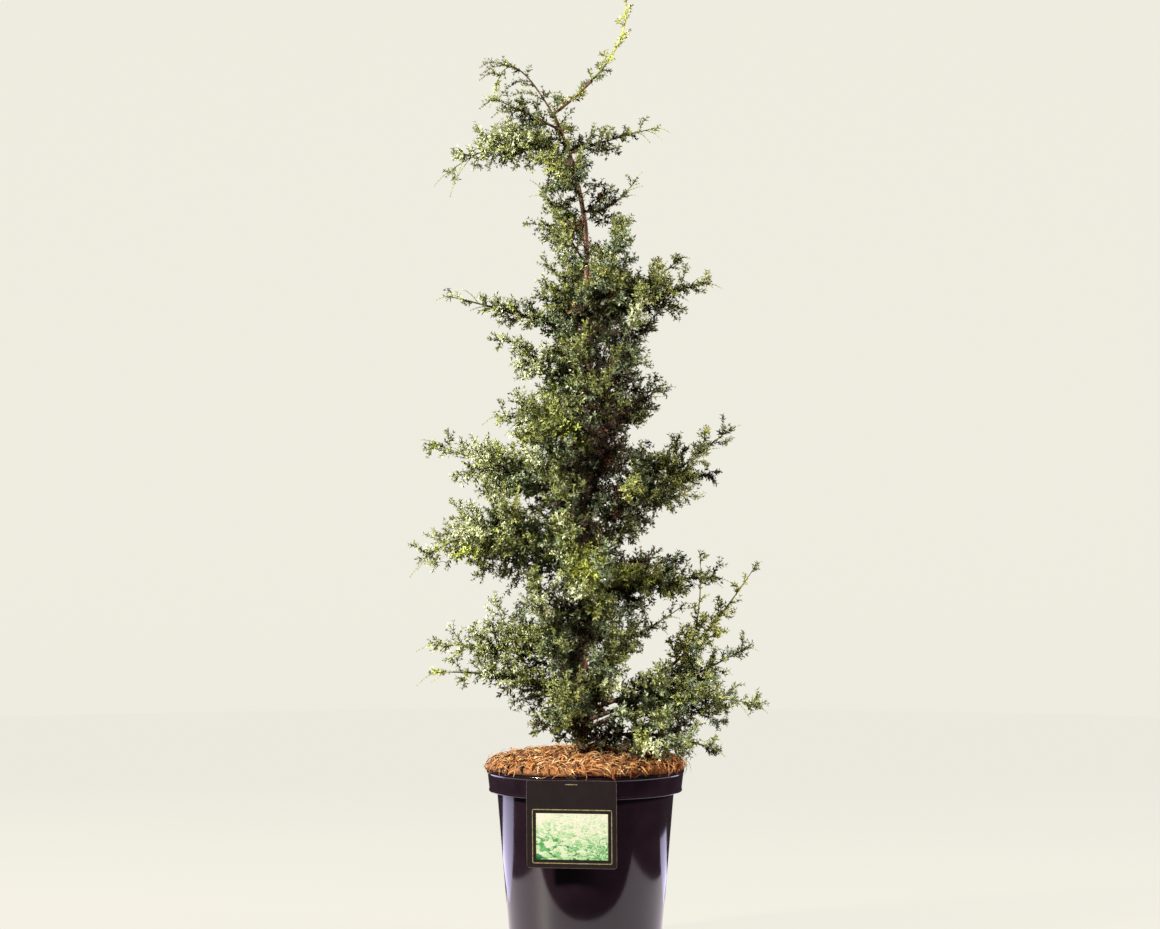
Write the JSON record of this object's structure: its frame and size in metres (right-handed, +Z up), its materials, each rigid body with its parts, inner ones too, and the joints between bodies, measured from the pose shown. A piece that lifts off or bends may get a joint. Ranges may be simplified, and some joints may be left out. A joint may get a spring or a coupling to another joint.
{
  "type": "potted juniper",
  "caption": "Upright young juniper with an open, irregular crown of fine needle sprays, a whip-like leader and a coir mulch, in a round tapered nursery pot.",
  "frame": {"origin": "centre of the pot's flat underside", "axes": "+Z up along the trunk, +X to the right and -Y towards the viewer as the plant is seen in the picture"},
  "size_m": [0.403, 0.2764, 1.1377],
  "materials": {
    "pot": "smooth glossy plum-black plastic",
    "card": "semi-matt printed card",
    "potting_mix": "rough and crumbly",
    "coir_mulch": "rough and fibrous",
    "bark": "rough, flaking bark",
    "foliage": "satin needles",
    "young_foliage": "satin needles"
  },
  "bodies": {
    "root": {"pot": "pot", "potting_mix": "potting_mix", "coir_mulch": "coir_mulch", "hanging_card": "card", "trunk": "bark", "bough_top_left": "bark", "bough_shoulder_left": "bark", "bough_middle_left": "bark", "bough_middle_right": "bark", "bough_lower_left": "bark", "bough_side_main": "bark", "bough_side_shoot_tall": "bark", "bough_side_shoot_arch": "bark", "bough_side_low": "bark", "foliage_leader": "young_foliage", "foliage_side_shoot_tall": "young_foliage", "foliage_side_shoot_arch": "young_foliage", "foliage_crown_whips": "foliage", "foliage_top_left": "foliage", "foliage_top_left_high": "foliage", "foliage_top_right": "foliage", "foliage_top_front_left": "foliage", "foliage_top_back": "foliage", "foliage_upper_left": "foliage", "foliage_upper_front": "foliage", "foliage_upper_right": "foliage", "foliage_shoulder_left": "foliage", "foliage_shoulder_right": "foliage", "foliage_crest_right": "foliage", "foliage_waist_left": "foliage", "foliage_waist_left_high": "foliage", "foliage_waist_right": "foliage", "foliage_middle_left": "foliage", "foliage_middle_right": "foliage", "foliage_lower_left": "foliage", "foliage_lower_right": "foliage", "foliage_skirt_left": "foliage", "foliage_skirt_left_low": "foliage", "foliage_right_twigs": "foliage", "foliage_side_main": "foliage", "foliage_side_low": "foliage", "foliage_foot_right": "foliage", "foliage_foot_front_left": "foliage", "foliage_foot_front_right": "foliage", "foliage_foot_back": "foliage", "foliage_skirt_front_left": "foliage", "foliage_skirt_front_right": "foliage", "foliage_skirt_back": "foliage", "foliage_lower_front_left": "foliage", "foliage_lower_front_right": "foliage", "foliage_lower_back": "foliage", "foliage_middle_front_left": "foliage", "foliage_middle_front_right": "foliage", "foliage_middle_back": "foliage", "foliage_waist_front_left": "foliage", "foliage_waist_front_right": "foliage", "foliage_waist_back": "foliage", "foliage_shoulder_front_left": "foliage", "foliage_shoulder_front_right": "foliage", "foliage_shoulder_back": "foliage"}
  },
  "joints": []
}
